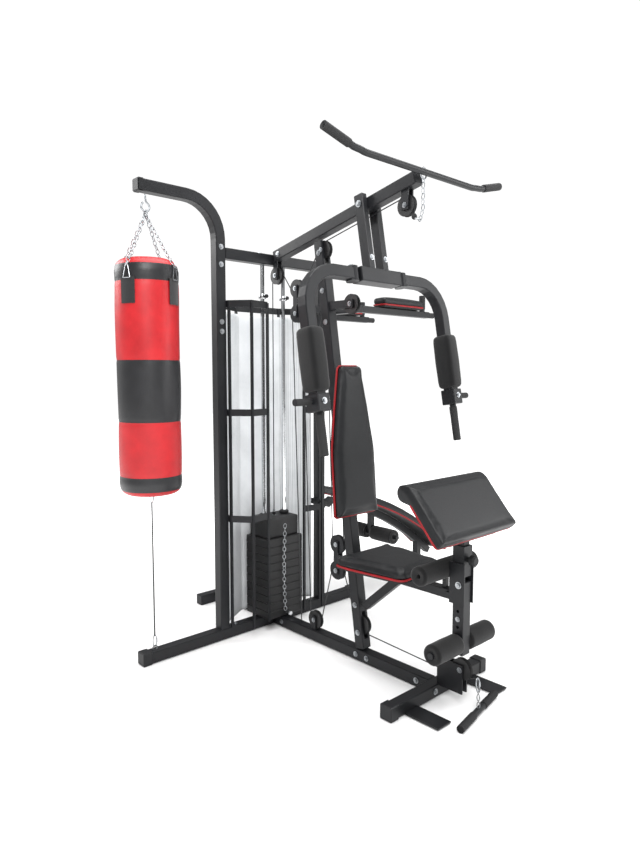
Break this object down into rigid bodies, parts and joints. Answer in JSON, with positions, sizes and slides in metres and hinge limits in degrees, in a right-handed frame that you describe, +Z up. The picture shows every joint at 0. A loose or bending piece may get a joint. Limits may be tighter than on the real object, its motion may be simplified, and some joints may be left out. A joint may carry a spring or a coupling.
{
  "type": "multi station home gym",
  "caption": "Weight-stack home gym with lat bar, press arms, leg and curl station, hanging punch bag, dip arms and a folding sit-up bench.",
  "frame": {"origin": "on the floor under the joint of the two base tubes, at the middle of the small centre foot", "axes": "+X runs forward along the main base tube to the seat, -Y points to the punch bag, +Y to the sit-up bench, +Z up"},
  "size_m": [1.7693, 2.1083, 2.1001],
  "materials": {
    "frame_steel": "satin black powder coat on square steel tube",
    "chrome_rod": "bright chrome plate",
    "cast_weight": "black enamel on cast weight plates",
    "cable_jacket": "black plastic jacket over wire rope",
    "tether_rubber": "black elastic cord",
    "wheel_nylon": "moulded black nylon",
    "pad_vinyl": "black vinyl over foam with a red edge",
    "foam_sleeve": "matt black closed-cell foam",
    "bag_vinyl": "red and black vinyl sewn in bands",
    "knob_plastic": "moulded black plastic",
    "panel_mesh": "light grey open mesh cloth"
  },
  "bodies": {
    "frame": {"base_cross_tube": "frame_steel", "base_main_tube": "frame_steel", "front_foot": "frame_steel", "rear_foot": "frame_steel", "bag_post": "frame_steel", "rear_post": "frame_steel", "top_cross_tube": "frame_steel", "top_beam": "frame_steel", "main_upright": "frame_steel", "seat_frame": "frame_steel", "stack_guard": "frame_steel", "mesh_panel": "panel_mesh", "knee_arm_frame": "frame_steel", "arm_pad_left": "pad_vinyl", "arm_pad_right": "pad_vinyl", "guide_rod_left": "chrome_rod", "guide_rod_right": "chrome_rod", "upper_cable": "cable_jacket", "low_cable": "cable_jacket", "bag_tether": "tether_rubber", "float_block": "frame_steel", "double_block": "frame_steel", "upper_foam": "foam_sleeve", "seat_pad": "pad_vinyl", "backrest_pad": "pad_vinyl"},
    "stack": {"weight_plate_01": "cast_weight", "weight_plate_02": "cast_weight", "weight_plate_03": "cast_weight", "weight_plate_04": "cast_weight", "weight_plate_05": "cast_weight", "weight_plate_06": "cast_weight", "weight_plate_07": "cast_weight", "weight_plate_08": "cast_weight", "weight_plate_09": "cast_weight", "weight_plate_10": "cast_weight", "stack_head": "cast_weight"},
    "pin": {"selector_pin": "chrome_rod"},
    "lat": {"lat_bar": "frame_steel"},
    "press": {"press_frame": "frame_steel"},
    "arm_left": {"fly_arm_left": "frame_steel", "arm_foam_left": "foam_sleeve"},
    "arm_right": {"fly_arm_right": "frame_steel", "arm_foam_right": "foam_sleeve"},
    "lever": {"leg_lever": "frame_steel", "lever_foam_left": "foam_sleeve", "lever_foam_right": "foam_sleeve"},
    "curl": {"preacher_frame": "frame_steel", "preacher_pad": "pad_vinyl"},
    "knob": {"lock_knob": "knob_plastic"},
    "bag": {"punch_bag": "bag_vinyl"},
    "bench": {"bench_frame": "frame_steel", "bench_pad": "pad_vinyl"},
    "row": {"row_bar": "frame_steel"},
    "rear_wheel_body": {"rear_wheel": "wheel_nylon"},
    "float_wheel_body": {"float_wheel": "wheel_nylon"},
    "mid_wheel_body": {"mid_wheel": "wheel_nylon"},
    "lat_wheel_body": {"lat_wheel": "wheel_nylon"},
    "fly_wheel_body": {"fly_wheel": "wheel_nylon"},
    "base_wheel_body": {"base_wheel": "wheel_nylon"},
    "low_wheel_body": {"low_wheel": "wheel_nylon"}
  },
  "joints": [
    {"name": "stack_lift", "type": "slide", "parent": "frame", "child": "stack", "axis": [0, 0, 1], "range_m": [0, 0.9], "deforming": ["upper_cable"]},
    {"name": "pin_pull", "type": "slide", "parent": "stack", "child": "pin", "axis": [1, 0, 0], "range_m": [0, 0.04]},
    {"name": "lat_pull", "type": "slide", "parent": "frame", "child": "lat", "axis": [0, 0, -1], "range_m": [0, 0.9]},
    {"name": "press_swing", "type": "hinge", "parent": "frame", "child": "press", "pos_m": [0.635, 0, 1.968], "axis": [0, -1, 0], "range_deg": [0, 40]},
    {"name": "fly_left_swing", "type": "hinge", "parent": "press", "child": "arm_left", "pos_m": [0.68796, -0.1486, 1.66763], "axis": [-0.1736, 0, 0.9848], "range_deg": [0, 70]},
    {"name": "fly_right_swing", "type": "hinge", "parent": "press", "child": "arm_right", "pos_m": [0.68796, 0.1486, 1.66763], "axis": [0.1736, 0, -0.9848], "range_deg": [0, 70]},
    {"name": "leg_swing", "type": "hinge", "parent": "frame", "child": "lever", "pos_m": [1.135, 0, 0.475], "axis": [0, -1, 0], "range_deg": [0, 85]},
    {"name": "curl_height", "type": "slide", "parent": "frame", "child": "curl", "axis": [0, 0, 1], "range_m": [0, 0.08]},
    {"name": "knob_turn", "type": "hinge", "parent": "frame", "child": "knob", "pos_m": [1.1613, 0, 0.573], "axis": [1, 0, 0], "continuous": true},
    {"name": "bag_swing", "type": "hinge", "parent": "frame", "child": "bag", "pos_m": [0, -0.68, 2.012], "axis": [0, 1, 0], "range_deg": [-20, 20], "deforming": ["bag_tether"]},
    {"name": "bench_fold", "type": "hinge", "parent": "frame", "child": "bench", "pos_m": [0, 0.362, 0.56], "axis": [1, 0, 0], "range_deg": [0, 32]},
    {"name": "row_pull", "type": "slide", "parent": "frame", "child": "row", "axis": [1, 0, 0], "range_m": [0, 0.6], "deforming": ["low_cable"]},
    {"name": "rear_wheel_spin", "type": "hinge", "parent": "frame", "child": "rear_wheel_body", "pos_m": [0.0365, 0, 1.745], "axis": [0, 1, 0], "continuous": true},
    {"name": "float_wheel_spin", "type": "hinge", "parent": "frame", "child": "float_wheel_body", "pos_m": [0.185, 0, 1.669], "axis": [0, 1, 0], "continuous": true},
    {"name": "mid_wheel_spin", "type": "hinge", "parent": "frame", "child": "mid_wheel_body", "pos_m": [0.372, 0, 1.821], "axis": [0, 1, 0], "continuous": true},
    {"name": "lat_wheel_spin", "type": "hinge", "parent": "frame", "child": "lat_wheel_body", "pos_m": [0.846, 0, 1.931], "axis": [0, 1, 0], "continuous": true},
    {"name": "fly_wheel_spin", "type": "hinge", "parent": "frame", "child": "fly_wheel_body", "pos_m": [0.545, 0, 1.571], "axis": [0, 1, 0], "continuous": true},
    {"name": "base_wheel_spin", "type": "hinge", "parent": "frame", "child": "base_wheel_body", "pos_m": [0.314, 0, 0.1], "axis": [0, 1, 0], "continuous": true},
    {"name": "low_wheel_spin", "type": "hinge", "parent": "frame", "child": "low_wheel_body", "pos_m": [1.143, 0, 0.14], "axis": [0, 1, 0], "continuous": true}
  ],
  "couplings": [
    {"joint": "lat_pull", "follows": "stack_lift", "ratio": 1},
    {"joint": "rear_wheel_spin", "follows": "stack_lift", "rad_per_m": 27.397},
    {"joint": "float_wheel_spin", "follows": "stack_lift", "rad_per_m": -27.397},
    {"joint": "mid_wheel_spin", "follows": "stack_lift", "rad_per_m": 27.397},
    {"joint": "lat_wheel_spin", "follows": "stack_lift", "rad_per_m": 27.397}
  ]
}
